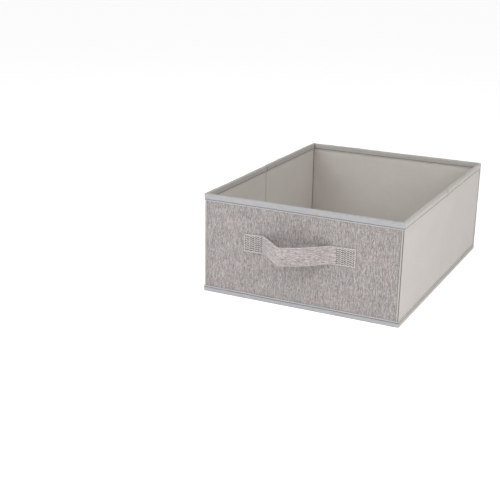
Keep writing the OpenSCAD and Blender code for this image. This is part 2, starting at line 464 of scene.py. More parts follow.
def plain_cloth(name, base, soft=1.0):
    """Fine smooth cloth: small even yarns, faint rows and soft clouding."""
    m = Finish(name)
    weave = m.yarns(0.36 * MM, 0.36 * MM, 0.5)
    rows = m.noise(22 * MM, 0.7 * MM, 3, 1.4)
    columns = m.noise(0.7 * MM, 22 * MM, 3, 8.2)
    clouds = m.noise(60 * MM, 45 * MM, 3, 4.7)
    grains = m.noise(0.5 * MM, 0.5 * MM, 2, 2.2)
    tone = m.add((0.22, rows), (0.22, columns), (0.30, clouds), (0.25, grains), (0.10, weave),
                 offset=0.45)
    colour = m.shades(tone, base, 0.78, 1.2)
    height = m.add((1.0, weave), (0.7, rows), (0.7, columns))
    return m.finish(colour, height, 0.09 * MM * soft, 0.86, 0.10)


def tape_cloth(name, cool, warm):
    """Folded binding tape: fine ribs across it, cooler on the front than on the other sides.

    Along a stitch line, which is where its painted shade is 1, shade is painted deeper into a needle
    hole between stitches.
    """
    m = Finish(name)
    ribs = m.ripple(m.u, math.pi / (0.55 * MM))
    fine = m.ripple(m.v, math.pi / (0.4 * MM))
    fuzz = m.noise(0.8 * MM, 0.5 * MM, 3, 3.3)
    clouds = m.noise(9 * MM, 3 * MM, 3, 5.1)
    threads = m.noise(12 * MM, 0.6 * MM, 2, 7.9)
    # painted shade in the needle holes along the stitch line
    to_hole = m.math("PINGPONG", m.u, STITCH_PITCH / 2)
    hole = m.math("SUBTRACT", 1.6, m.math("DIVIDE", to_hole, 0.4 * MM), clamp=True)
    m.painted_shade = m.math("MULTIPLY", m.painted_shade, m.math("ADD", 0.9, m.math("MULTIPLY", hole, 0.3)))
    tone = m.add((0.55, fuzz), (0.75, clouds), (0.6, threads), (0.12, ribs), (0.06, fine),
                 offset=0.42)
    colour = m.mix("MIX", m.tint_and_highlight, m.shades(tone, warm, 0.74, 1.22), m.shades(tone, cool, 0.74, 1.22))
    height = m.add((1.0, ribs), (0.5, fine), (0.8, fuzz), (-4.0, m.math("MULTIPLY", hole, m.painted_shade)))
    return m.finish(colour, height, 0.07 * MM, 0.78, 0.18)


def thread_finish(name, base):
    """Twisted sewing thread."""
    m = Finish(name)
    ply = m.math("ADD", m.math("DIVIDE", m.u, 0.5 * MM), m.math("DIVIDE", m.v, 0.8 * MM))
    twist = m.ripple(ply, math.pi)
    tone = m.add((0.5, twist), offset=0.3)
    colour = m.shades(tone, base, 0.7, 1.15)
    return m.finish(colour, twist, 0.05 * MM, 0.6, 0.1)


def board_finish(name, base):
    """Uncoated board with fibres and specks, placed by object coordinates, as it is a CAD node."""
    m = Finish(name)
    where = m.node("ShaderNodeTexCoord").outputs["Object"]
    fibres, specks = [
        m.node("ShaderNodeTexNoise", {"Vector": where, "Scale": scale, "Detail": detail}).outputs["Fac"]
        for scale, detail in ((380.0, 5.0), (1400.0, 2.0))
    ]
    tone = m.add((0.6, fibres), (0.4, specks))
    colour = m.shades(tone, base, 0.7, 1.2, ends=(0.25, 0.75))
    return m.finish(colour, tone, 0.08 * MM, 0.9)


FINISHES = {
    "linen": linen("linen"),
    # The strap's linen is the front's linen painted 1.2 times lighter for the light the strap catches,
    # with a painted highlight on its edges and ends
    "strap_linen": linen("strap_linen", 1.2, 0.35),
    "side_fabric": plain_cloth("side_fabric", (0.50, 0.473, 0.451)),
    # The lining is the side cloth's colour painted about 13% lighter, painted light for the shaded
    # walls inside
    "lining": plain_cloth("lining", (0.565, 0.537, 0.502), 0.8),
    "tape": tape_cloth("tape", (0.375, 0.372, 0.382), (0.43, 0.410, 0.388)),
    "thread": thread_finish("thread", (0.62, 0.60, 0.58)),
    "seam_thread": thread_finish("seam_thread", (0.30, 0.295, 0.295)),
    "board": board_finish("board", (0.42, 0.31, 0.19)),
    "webbing": plain_cloth("webbing", (0.6, 0.57, 0.52), 2.0),
}


def dress(piece, finish, replaces=()):
    """Gives a new piece its material and hides the CAD nodes that it stands for."""
    piece.data.materials.append(FINISHES[finish])
    if replaces:
        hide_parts(*replaces)
    return piece


def carry(piece, hold):
    """Rides on one body when hold is a body's name. For a hold of (a, b, start, end) between two bodies
    it only fixes the piece where it stands.
    """
    if isinstance(hold, str):
        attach(piece, hold)
    else:
        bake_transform(piece)


def sew_on(thread, name, finish, hold, replaces=()):
    """Makes one piece of a thread's stitches, gives it its finish and passes it to carry with hold."""
    sewn = dress(thread.piece(name), finish, replaces)
    carry(sewn, hold)
    return sewn


# ---- holds for pieces that cross the folds and corners
def fold_at(side, reach):
    """Hold across the mid-depth fold of one side: its two bodies and points reach each side of it."""
    x = -HALF_X if side == "left" else HALF_X
    return (f"{side}_front", f"{side}_rear", (x, -reach, 0), (x, reach, 0))


def corner_bend(side, end, reach, straight=False):
    """Hold across a front or back corner. A straight one starts behind the corner, on the side only."""
    x = -1 if side == "left" else 1
    y = -1 if end == "front" else 1
    on_wall = (x * (HALF_X - (0 if straight else reach)), y * HALF_Y, 0)
    on_side = (x * HALF_X, y * (HALF_Y - reach), 0)
    if end == "front":
        return ("shell", f"{side}_front", on_wall, on_side)
    return (f"{side}_rear", "back", on_side, on_wall)


TAPE_REACH = 7 * MM  # how far from a corner or a fold each kind of piece's hold reaches
CLOTH_REACH = 12 * MM
FOLD_REACH = 5 * MM

# name, where it starts and ends, what it rides on, and the walls whose CAD nodes it stands for
TAPE_RUNS = [
    ("front_left", 0, NEAR_HALF, corner_bend("left", "front", TAPE_REACH), ["front", "left_front"]),
    ("left", NEAR_HALF, FAR_HALF, fold_at("left", FOLD_REACH), ["left_front", "left_rear"]),
    ("back_left", FAR_HALF, BACK_MIDDLE, corner_bend("left", "back", TAPE_REACH),
     ["left_rear", "back"]),
    ("back_right", BACK_MIDDLE, BACK_RIGHT + CORNER, "back", ["back"]),
    ("right_rear", CORNER - BACK_LEFT, -FAR_HALF, "right_rear", ["right_rear"]),
    ("right", -FAR_HALF, -NEAR_HALF, fold_at("right", FOLD_REACH), ["right_front", "right_rear"]),
    ("front_right", -NEAR_HALF, 0, corner_bend("right", "front", TAPE_REACH), ["front", "right_front"]),
]

# ---- rim binding
RIM_MIDDLE = RIM_IN / 2 - TAPE / 2
RIM_PUFF = 0.35 * MM
ROLL = 2.2 * MM  # height of the rim tape's rolled top
TAPE_STEP = 2.0 * MM
EDGE_ROUND = 0.5 * MM  # how far from a tape's edge it reaches its full thickness
FROM_EDGE = np.array([0, 0.1, 0.25, 0.5, 0.85, 1.2]) * MM  # rows of points beside a tape's edge
NEAR_GROOVE = np.array([-0.6, -0.35, -0.18, 0, 0.18, 0.35, 0.6, 1.0, 1.6]) * MM  # and its stitch line
GROOVE_WIDTH = 0.42 * MM
GROOVE_DEPTH = 0.5 * MM
LINE_WIDTH = 0.6 * MM  # of the painted shade along a line of stitching
PALEST = -0.3  # a painted shade below 0 is a painted highlight, paler than the cloth


def groove(distance):
    """How far a row of stitches pulls a tape in, at a distance from the row."""
    return GROOVE_DEPTH * hump(distance, GROOVE_WIDTH)


def lip_highlight(distance):
    """Painted highlight on the strip between a tape's stitch line and its edge, distance being from the
    edge.
    """
    return PALEST * hump(distance - 0.85 * MM, 1.0 * MM)


def rim_section():
    """Loop of the folded rim tape: outer leg, rolled top, inner leg, and back along its inside."""
    heights = np.concatenate([
        RIM_Z + FROM_EDGE,
        RIM_Z + STITCH_INSET + NEAR_GROOVE,
        np.linspace(RIM_Z + 4.4 * MM, TOP - ROLL, 4),
    ])
    low = np.clip((heights - RIM_Z) / EDGE_ROUND, 0, 1)
    thick = TAPE * np.sqrt(1 - (1 - low) ** 2)
    above = np.clip((heights - RIM_Z - STITCH_INSET) / (TOP - RIM_Z - STITCH_INSET), 0, 1)
    thick = thick + RIM_PUFF * np.sin(math.pi * above) ** 0.6
    thick = thick - groove(heights - (RIM_Z + STITCH_INSET))
    outer = [(-t, z) for t, z in zip(thick, heights)]
    half = RIM_IN / 2 + TAPE / 2 + thick[-1] - TAPE
    top = []
    for angle in np.linspace(0, math.pi, 13)[1:-1]:
        c, s = math.cos(angle), math.sin(angle)
        across = RIM_MIDDLE - math.copysign(abs(c) ** 0.75, c) * half
        top.append((across, TOP - ROLL + ROLL * s**0.75))
    mirrored = [(2 * RIM_MIDDLE + t, z) for t, z in zip(thick[::-1], heights[::-1])]
    inside = [(LINING_IN, RIM_Z), (LINING_IN, TOP - 1.2 * MM), (0, TOP - 1.2 * MM), (0, RIM_Z)]
    return outer + top + mirrored + inside


def near_fold(s, width):
    """1 at the mid-depth folds, 0 away from them."""
    return hump(abs(s) - FOLD, width)


def off_corner(s):
    """0 at the bin's corners, 1 away from them."""
    return float(ease((abs(near_corner(s)[1]) - 6 * MM) / (8 * MM)))


def rim_shape(s, n, z, v):
    """Puckers along the stitching, slow unevenness and the nick at the folds, with painted shade along
    the stitch line, in the nick and in the corners inside, and a painted highlight on the lip.
    """
    outward = np.where(n < RIM_MIDDLE, -1.0, 1.0)
    on_skin = (n < -HAIR) | (n > LINING_IN + HAIR) | (z > TOP - 1.1 * MM)
    pucker = 0.11 * MM * waves(s, v, 2.6 * MM, 11) + 0.20 * MM * waves(s, v, 14 * MM, 12)
    fold = near_fold(s, 1.7 * MM)
    swollen = near_fold(s, 6 * MM) - fold
    stands_out = outward * (pucker - 0.45 * MM * fold + 0.25 * MM * swollen)
    dn = np.where(on_skin, stands_out, 0) * off_corner(s)
    rise = np.clip((z - RIM_Z) / (TOP - RIM_Z), 0, 1)
    # The rear half stands a little higher where it meets the front one
    behind = ease((abs(s) - FOLD) / MM) * hump(abs(s) - FOLD, 45 * MM)
    lift = 0.30 * MM * waves(s, 0.0, 70 * MM, 13) + 0.10 * MM * waves(s, 0.0, 11 * MM, 15)
    dz = rise * (lift - 1.6 * MM * fold + 0.5 * MM * behind - 0.35 * MM)
    dz = dz + 0.12 * MM * waves(s, 0.0, 9 * MM, 14) * (1 - rise) * off_corner(s)
    off = near_corner(s)[1]
    corner = hump(off, 6.5 * MM) if abs(off) < 6 * MM else 0.0
    # painted shade along the stitch line and in the nick at the folds, painted highlight on the lip
    # below it
    dark = hump(z - RIM_Z - STITCH_INSET, LINE_WIDTH) + lip_highlight(z - RIM_Z) + 0.8 * near_fold(s, 1.0 * MM)
    # painted shade in the corners inside
    dark = dark + np.where(n > RIM_MIDDLE, 0.7 * corner, 0)
    # the faces hidden against the cloth get a flat painted shade of 0.6
    return dn, dz, np.where(on_skin, dark.clip(PALEST, 1), 0.6)


GROOVE_N = 0.40 * MM  # how far the bottom of a stitch groove stands off the cloth under the tape


def sew(thread, a, b, n, outward):
    """A stitch at depth n between two (s, z) places, facing outward (-1) or inward (1)."""
    ends = [place(s, np.array([n]), np.array([z]))[0] for s, z in (a, b)]
    normal = station((a[0] + b[0]) / 2)[1] * outward
    thread.stitch(*ends, (*normal, 0))


def sew_round(thread, start, end, n, z, outward):
    """A row of stitches round the bin at depth n and height z."""
    for i in range(math.ceil(start / STITCH_PITCH - 0.5), math.ceil(end / STITCH_PITCH - 0.5)):
        s = (i + 0.5) * STITCH_PITCH
        tilt = 0.10 * MM * math.sin(3.1 * i)
        sew(thread, (s - STITCH / 2, z + tilt), (s + STITCH / 2, z - tilt), n, outward)


for name, start, end, hold, walls in TAPE_RUNS:
    tape = wrap(f"rim_tape_{name}", start, end, rim_section(), rim_shape, TAPE_STEP)
    dress(tape, "tape", [f"{w}_rim_binding" for w in walls])
    carry(tape, hold)
    stitches = Thread(THREAD)
    sew_round(stitches, start, end, -GROOVE_N, RIM_Z + STITCH_INSET, -1)
    sew_round(stitches, start, end, LINING_IN + GROOVE_N, RIM_Z + STITCH_INSET, 1)
    nodes = [f"{w}_rim_stitches" for w in walls]
    sew_on(stitches, f"rim_stitches_{name}", "seam_thread", hold, nodes)

# ---- bottom binding
HEM_ROUND = 1.3 * MM  # rounding of its lower outside edge
HEM_PUFF = 0.25 * MM


def hem_section():
    """Loop of the bottom tape: up its outside, down its inside, and back under the bin."""
    heights = np.concatenate([
        np.linspace(HEM_ROUND, HEM_Z - STITCH_INSET - 1.4 * MM, 4),
        HEM_Z - STITCH_INSET - NEAR_GROOVE[-2::-1],
        HEM_Z - FROM_EDGE[::-1],
    ])
    low = np.clip((HEM_Z - heights) / EDGE_ROUND, 0, 1)
    thick = TAPE * np.sqrt(1 - (1 - low) ** 2)
    below = np.clip(heights / (HEM_Z - STITCH_INSET), 0, 1)
    thick = thick + HEM_PUFF * np.sin(math.pi * below) ** 0.7
    thick = thick - groove(heights - (HEM_Z - STITCH_INSET))
    inner_face = HEM_OUT + TAPE
    outer = [(inner_face - t, z) for t, z in zip(thick, heights)]
    foot = []
    for angle in np.linspace(0, math.pi / 2, 5)[1:]:
        foot.append((HEM_OUT + HEM_ROUND * (1 - math.sin(angle)), HEM_ROUND * (1 - math.cos(angle))))
    under = [(HEM_IN, 0), (HEM_IN + 0.2 * MM, TAPE / 2), (HEM_IN, TAPE), (inner_face + 0.2 * MM, TAPE)]
    return [(inner_face, HEM_Z)] + outer[::-1] + foot + under


def hem_shape(s, n, z, v):
    """Puckers and slow unevenness on the upright part, which thins out towards the floor."""
    rise = ease(z / HEM_Z)
    on_skin = (n < HEM_OUT + TAPE - HAIR) & (z > 0.4 * MM)
    pucker = 0.10 * MM * waves(s, v, 2.6 * MM, 21) + 0.14 * MM * waves(s, v, 13 * MM, 22)
    dn = np.where(on_skin, -pucker * rise, 0)
    dz = rise * 0.22 * MM * waves(s, 0.0, 40 * MM, 23)
    # painted shade along the stitch line, painted highlight on the lip above it; hidden faces get none
    dark = hump(z - HEM_Z + STITCH_INSET, LINE_WIDTH) + lip_highlight(HEM_Z - z)
    return dn, dz, np.where(on_skin, dark, 0.0)


whole = (-AROUND / 2, AROUND / 2)
hem = wrap("bottom_tape", *whole, hem_section(), hem_shape, TAPE_STEP, closed=True)
dress(hem, "tape", [f"bottom_binding_{s}" for s in ("front", "back", "left", "right")])
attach(hem, "shell")
stitches = Thread(THREAD)
sew_round(stitches, *whole, HEM_OUT + TAPE - GROOVE_N, HEM_Z - STITCH_INSET, -1)
sew_on(stitches, "bottom_stitches_round", "seam_thread", "shell", ["bottom_stitches"])

# ---- covers and linings
COVER_TOP = TOP - 2.5 * MM
FIXED_LOW = 1.2 * MM  # lower edge of the front's cloth, which doesn't fold
CLOTH_STEP = 4 * MM
TUCK = 9 * MM  # how far from its tapes a panel reaches its full puff


def panel_shape(start, end, puff, seed, inward=False, fold_depth=0.0, tucked=(True, True), slit=0.0):
    """Soft puff of one panel of cloth over its board, tucked in at its tapes and corners.

    slit is how deep the cloth falls back at its tucked ends, which makes the line of a corner, darkened
    there with painted shade.
    """
    low, high = HEM_Z, RIM_Z

    def shape(s, n, z, v):
        edge = ease((z - low) / TUCK) * ease((high - z) / TUCK)
        ends = [abs(s - at) for at, is_tucked in zip((start, end), tucked) if is_tucked]
        for off in ends:
            edge = edge * (0.25 + 0.75 * ease(off / TUCK))
        nearest = min(ends, default=TUCK)
        fall = float(1 - ease(nearest / (2.4 * MM)))
        shoulder = near_fold(s, 7 * MM)
        swell = puff * (0.55 + 0.45 * waves(s, z, 75 * MM, seed)) * edge * (1 - 0.6 * shoulder)
        swell = swell + 0.10 * MM * waves(s, z, 20 * MM, seed + 1) * edge
        sunk = fold_depth * near_fold(s, 1.5 * MM) + slit * fall
        face = n > (LINING_OUT + LINING_IN) / 2 if inward else n < COVER / 2
        out = 1 if inward else -1
        dn = out * (np.where(face, swell, 0) - sunk)
        # painted shade in the fold, deep on the lining
        dark = (0.9 if inward else 0.12) * near_fold(s, 1.0 * MM) * (fold_depth > 0)
        # painted shade at the tucked ends, deep where a slit makes the corner's line
        dark = dark + (0.9 if slit else 0.35) * float(1 - ease(nearest / (1.9 * MM)))
        # the faces that don't show get a flat painted shade of 0.5
        return dn, 0 * z, np.where(face, min(dark, 1.0), 0.5)

    return shape


def panel(name, start, end, kind, hold, nodes, puff, seed, **options):
    """One panel of outer cloth or of lining. kind is finish and slot."""
    is_lining = kind == "lining"
    low = FIXED_LOW if hold == "shell" else WALL_LOW
    faces = (LINING_IN, LINING_OUT) if is_lining else (0, COVER)
    section = slab(low, COVER_TOP, *faces, CLOTH_STEP)
    if is_lining:
        section = section[::-1]
    shape = panel_shape(start, end, puff, seed, is_lining, **options)
    piece = wrap(name, start, end, section, shape, CLOTH_STEP)
    dress(piece, kind, nodes)
    carry(piece, hold)


WELT_AT = 2.65 * MM  # from the corner to the middle of the front's welt, along the front
BACK_WELT_AT = 1.9 * MM  # from the corner to the middle of the back's welt, along the side
LINEN_END = 3.6 * MM  # the linen stops this far before the corner, and the side cloth
SIDE_START = 0.7 * MM  # wraps round the corner to here, with the welt between them
BACK_WRAP = 0.9 * MM  # the back's cloth goes this far round its corners
BEHIND_WELT = 2.9 * MM
LINEN_PUFF = 0.7 * MM
PUFF = 0.9 * MM
FOLD_DEPTH = 0.28 * MM
LINING_FOLD = 1.3 * MM
LINING_SLIT = 1.3 * MM
CORNER_SLIT = 0.6 * MM

panel("front_linen", LINEN_END - FRONT_LEFT, FRONT_LEFT - LINEN_END, "linen", "shell",
      ["front_cover"], LINEN_PUFF, 31)
panel("back_cloth", BACK_LEFT - BACK_WRAP, BACK_RIGHT + BACK_WRAP, "side_fabric", "back",
      ["back_cover"], PUFF, 33)
panel("front_inner", LINING_IN - FRONT_LEFT, FRONT_LEFT - LINING_IN, "lining", "shell",
      ["front_lining"], PUFF, 35)
panel("back_inner", BACK_LEFT + LINING_IN, BACK_RIGHT - LINING_IN, "lining", "back",
      ["back_lining"], PUFF, 37)

# The side walls' two layers: their cloth, the words for it in the names of pieces and of CAD nodes,
# where it starts past the front corner and stops before the back one, how deep its folds and its
# slits at the corners are, and what is added to the side's seed
LAYERS = [
    ("side_fabric", "cloth", "cover", -SIDE_START, BEHIND_WELT, FOLD_DEPTH, CORNER_SLIT, 0),
    ("lining", "inner", "lining", LINING_IN, LINING_IN, LINING_FOLD, LINING_SLIT, 3),
]

for side, sign, seed in (("left", 1, 40), ("right", -1, 60)):
    front_bend = corner_bend(side, "front", CLOTH_REACH, straight=True)
    # The linkage is open at the back-right corner, so the right side's cloth doesn't bend there
    back_bend = "right_rear"
    if side == "left":
        back_bend = corner_bend("left", "back", CLOTH_REACH, straight=True)
    middle = fold_at(side, FOLD_REACH)
    for kind, word, part, near_gap, far_gap, depth, slit, more in LAYERS:
        runs = [
            ("near", FRONT_LEFT + near_gap, NEAR_HALF, front_bend, (True, False), ["front"]),
            ("middle", NEAR_HALF, FAR_HALF, middle, (False, False), ["front", "rear"]),
            ("far", FAR_HALF, BACK_LEFT - far_gap, back_bend, (False, True), ["rear"]),
        ]
        for label, a, b, hold, tucked, halves in runs:
            start, end = (a, b) if sign > 0 else (-b, -a)
            ends = tucked if sign > 0 else tucked[::-1]
            nodes = [f"{side}_{half}_{part}" for half in halves]
            panel(f"{side}_{word}_{label}", start, end, kind, hold, nodes, PUFF, seed + more,
                  fold_depth=depth, tucked=ends, slit=slit)

# ---- welts and fold seams
WELT = 0.85 * MM  # radius of the piping
CORD_SIDES = 12
CORD_STEP = 4 * MM
SQUARE = 0.01 * MM  # a rounding too small to carry the piping off its line


def upright_cord(name, s, n, radius, low, high):
    """A narrow upright piping, slightly uneven, whose middle line is at s and n."""
    heights = np.linspace(low, high, round((high - low) / CORD_STEP) + 1)
    base, normal = station(s, SQUARE)
    along = np.array([normal[1], -normal[0]])
    rows, cloth = [], []
    for z in heights:
        girth = radius * (1 + 0.10 * float(waves(z, 0.0, 12 * MM, 8)))
        middle = base + normal * (n + 0.12 * MM * float(waves(z, 0.0, 40 * MM, 5)))
        ring = []
        for k in range(CORD_SIDES):
            angle = math.tau * k / CORD_SIDES
            offset = normal * math.cos(angle) * girth + along * math.sin(angle) * girth
            ring.append((*(middle + offset), z))
            cloth.append((angle * radius, z, 0))
        rows.append(ring)
    return band(name, rows, cloth, np.full(len(cloth), 0.0))


for end, body in (("front", "shell"), ("back", "back")):
    for side, sign in (("left", 1), ("right", -1)):
        at = sign * (FRONT_LEFT - WELT_AT if end == "front" else BACK_LEFT - BACK_WELT_AT)
        low = HEM_Z - 1.0 * MM if end == "front" else HEM_Z + 0.3 * MM
        welt = upright_cord(f"{end}_welt_roll_{side}", at, -0.15 * MM, WELT, low, RIM_Z + 1 * MM)
        dress(welt, "side_fabric", [f"{end}_welt_{side}"])
        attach(welt, body)

for side, sign in (("left", 1), ("right", -1)):
    stitches = Thread(THREAD)
    low, high = HEM_Z + 2 * MM, RIM_Z - 1 * MM
    at, n = sign * FOLD, LINING_IN - LINING_FOLD + 0.2 * MM
    for z in np.arange(low, high - STITCH, STITCH_PITCH):
        sew(stitches, (at, z), (at, z + STITCH), n, 1)
    hold, nodes = fold_at(side, FOLD_REACH), [f"fold_seam_{side}"]
    sew_on(stitches, f"fold_stitches_{side}", "thread", hold, nodes)

# ---- handle strap
FACE_Y = -HALF_Y
STRAP_T = 2.4 * MM  # thickness
STRAP_END = 85 * MM  # x of its ends
STRAP_HALF = 13.5 * MM  # half of its width
STRAP_MID = 87.5 * MM  # height of its middle line
SLANT = math.radians(1.2)  # the right end is the higher one
TAB = 30 * MM  # length of each sewn end
SPAN = STRAP_END - TAB  # x where the loop may leave the front
FLAT = STRAP_T / 2  # middle of the strap from the front face, where it lies flat
# Corners of the loop in plan, and how far along the strap each one's bend reaches
LOOP = [(-SPAN, FLAT), (-13 * MM, 41 * MM - FLAT), (22 * MM, 25 * MM - FLAT), (49 * MM, FLAT)]
BENDS = [2.4 * MM, 7 * MM, 18 * MM, 5 * MM]
BOW = LOOP[1][1]
BEND_POINTS = 25
STRAP_ROUND = 0.7 * MM  # rounding of its long edges


def bend(a, b, c, reach):
    """Curve from a towards c in place of the corner at b."""
    start = b + (a - b) * reach / np.linalg.norm(a - b)
    end = b + (c - b) * reach / np.linalg.norm(c - b)
    t = np.linspace(0, 1, BEND_POINTS)[:, None]
    return (1 - t) ** 2 * start + 2 * (1 - t) * t * b + t * t * end


def strap_plan(step, trim):
    """Middle line of the strap in plan, as (x, distance out from the front), a point every step."""
    ends = [np.array([x, FLAT]) for x in (trim - STRAP_END, STRAP_END - trim)]
    knots = [ends[0]] + [np.array(p) for p in LOOP] + [ends[1]]
    line = [ends[0][None]]
    line += [bend(*knots[i:i + 3], reach) for i, reach in enumerate(BENDS)]
    line = np.concatenate(line + [ends[1][None]])
    length = np.concatenate([[0], np.cumsum(np.linalg.norm(np.diff(line, axis=0), axis=1))])
    at = np.linspace(0, length[-1], round(length[-1] / step) + 1)
    return np.column_stack([np.interp(at, length, line[:, k]) for k in (0, 1)]), at


def slanted(x, y, z):
    """Point of the straight handle, turned by the handle's slant."""
    up = z - STRAP_MID
    x_turned = x * math.cos(SLANT) - up * math.sin(SLANT)
    return x_turned, y, STRAP_MID + x * math.sin(SLANT) + up * math.cos(SLANT)


ZIG_ROWS = 9  # zigzags across each sewn end, one above the other
ZIG_LEGS = 6  # slanted stitches in each
ZIG_GAP = (2 * STRAP_HALF - 4.2 * MM) / (ZIG_ROWS - 1)
ZIG_SWING = 1.25 * MM
ZIG_STRAY = 0.35  # mm: how far a needle point may be off its place
ZIG_THREAD = 0.42 * MM  # radius of the thicker thread here
HOLE = 0.7 * MM  # width of the dent round a needle point, and of the shade painted in it
TAB_CENTRES = (TAB / 2 - STRAP_END, STRAP_END - TAB / 2)
ZIG_HALF = TAB / 2 - 2.3 * MM


def zigzag(centre, row):
    """Needle points of one zigzag, as (x, height above the strap's middle)."""
    middle = (row - (ZIG_ROWS - 1) / 2) * ZIG_GAP
    xs = centre + np.linspace(-1, 1, ZIG_LEGS + 1) * ZIG_HALF
    random = np.random.default_rng(row + (40 if centre > 0 else 0))
    stray = random.uniform(-ZIG_STRAY, ZIG_STRAY, (len(xs), 2)) * MM
    swings = [ZIG_SWING if i % 2 else -ZIG_SWING for i in range(len(xs))]
    return [(x + dx, middle + swing + dh) for x, swing, (dx, dh) in zip(xs, swings, stray)]


HOLES = np.array([p for at in TAB_CENTRES for row in range(ZIG_ROWS) for p in zigzag(at, row)])


def sewn_down(x, h):
    """How deep the stitches pull the strap in at x and height h, and how much shade is painted there: 1
    at a hole, some between the zigzags.
    """
    near = (x - HOLES[:, 0]) ** 2 + (h[:, None] - HOLES[:, 1]) ** 2
    holes = np.exp(-near / HOLE ** 2).sum(axis=-1).clip(0, 1)
    off = min((x - centre for centre in TAB_CENTRES), key=abs)
    leg = (off + ZIG_HALF) / (2 * ZIG_HALF) * ZIG_LEGS
    swing = ZIG_SWING * (1 - 2 * abs(leg % 2 - 1))
    between = 0.5 - 0.5 * np.cos(math.tau * (h - swing) / ZIG_GAP)
    inside = ease((ZIG_HALF + 1 * MM - abs(off)) / MM)
    inside = inside * ease((STRAP_HALF - 1.2 * MM - np.abs(h)) / MM)
    pull = (0.6 * holes + 0.4 * (1 - between)) * inside
    return pull, (holes + 0.7 * between).clip(0, 1) * inside


def strap_band(name, thick, half, trim, step, detail):
    """The strap's band: rounded edges, a soft loop, and sewn ends quilted by their stitches, with
    painted shade at the stitches and a painted highlight along its edges and ends.
    """
    plan, length = strap_plan(step, trim)
    tangent = np.gradient(plan, axis=0)
    tangent /= np.linalg.norm(tangent, axis=1)[:, None]
    normal = np.column_stack([-tangent[:, 1], tangent[:, 0]])
    flank = half - STRAP_ROUND
    heights = np.linspace(-flank, flank, round(2 * flank / detail) + 1)
    turn = np.linspace(0, math.pi, 7)[1:-1]
    edge = [(math.cos(a) * thick / 2, flank + math.sin(a) * STRAP_ROUND) for a in turn]
    section = [(thick / 2, h) for h in heights] + edge + [(-thick / 2, h) for h in heights[::-1]]
    section += [(-t, -h) for t, h in edge]
    t0, h0 = np.array(section).T
    outer = t0 > 0.1 * MM
    v = np.concatenate([[0], np.cumsum(np.hypot(np.diff(t0), np.diff(h0)))])
    # rim: where the painted highlight along the strap's long edges goes
    rim = ease((np.abs(h0) - half + 1.3 * MM) / (0.8 * MM))
    rows, cloth, painted_shade = [], [], []
    for i, (x, out) in enumerate(plan):
        free = float(ease((SPAN - abs(x)) / (8 * MM)))
        to_end = STRAP_END - trim - abs(x)
        pull, dark = sewn_down(x, h0)
        soft = 0.5 * MM * waves(length[i], h0, 24 * MM, 72)
        soft = free * (soft + 0.22 * MM * waves(length[i], h0, 9 * MM, 73))
        crown = np.where(outer, 0.30 * MM * free * (1 - (h0 / half) ** 2) - 0.35 * MM * pull, 0)
        t = t0 * (1 - 0.5 * hump(to_end, 0.5 * MM)) + soft + crown
        sag = free * (0.35 * MM * waves(length[i], 0.0, 34 * MM, 71) - 0.6 * MM * out / BOW)
        flat = plan[i] + normal[i] * t[:, None]
        x_row, y_row, z_row = slanted(flat[:, 0], FACE_Y - flat[:, 1], STRAP_MID + h0 + sag)
        rows.append(np.column_stack([x_row, y_row, z_row]))
        # painted highlight along the long edges and the folded ends, carried as the third cloth value
        pale = np.maximum(rim, float(1 - ease((to_end - 1.0 * MM) / (0.7 * MM))))
        cloth.append(np.column_stack([v, np.full_like(v, length[i]), pale]))
        # painted shade at the stitches; the back face gets a flat painted shade of 0.2
        painted_shade.append(np.where(outer, dark, 0.2))
    return band(name, rows, cloth, painted_shade)


strap = strap_band("handle_strap_cloth", STRAP_T, STRAP_HALF, 0, 0.75 * MM, 0.7 * MM)
dress(strap, "strap_linen", ["handle_strap"])
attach(strap, "shell")
core = strap_band("handle_strap_webbing", 0.9 * MM, STRAP_HALF - 2 * MM, 3 * MM, 3 * MM, 6 * MM)
dress(core, "webbing", ["handle_core"])
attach(core, "shell")
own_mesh(strap)
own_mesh(core)

for side, centre in zip(("left", "right"), TAB_CENTRES):
    stitches = Thread(ZIG_THREAD)
    y = FACE_Y - STRAP_T + HAIR
    for row in range(ZIG_ROWS):
        needles = zigzag(centre, row)
        for (x0, h0), (x1, h1) in zip(needles, needles[1:]):
            start, end = slanted(x0, y, STRAP_MID + h0), slanted(x1, y, STRAP_MID + h1)
            stitches.stitch(start, end, (0, -1, 0))
    nodes = [f"handle_stitches_{side}"]
    sewn = sew_on(stitches, f"handle_zigzag_{side}", "thread", "shell", nodes)
    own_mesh(sewn)

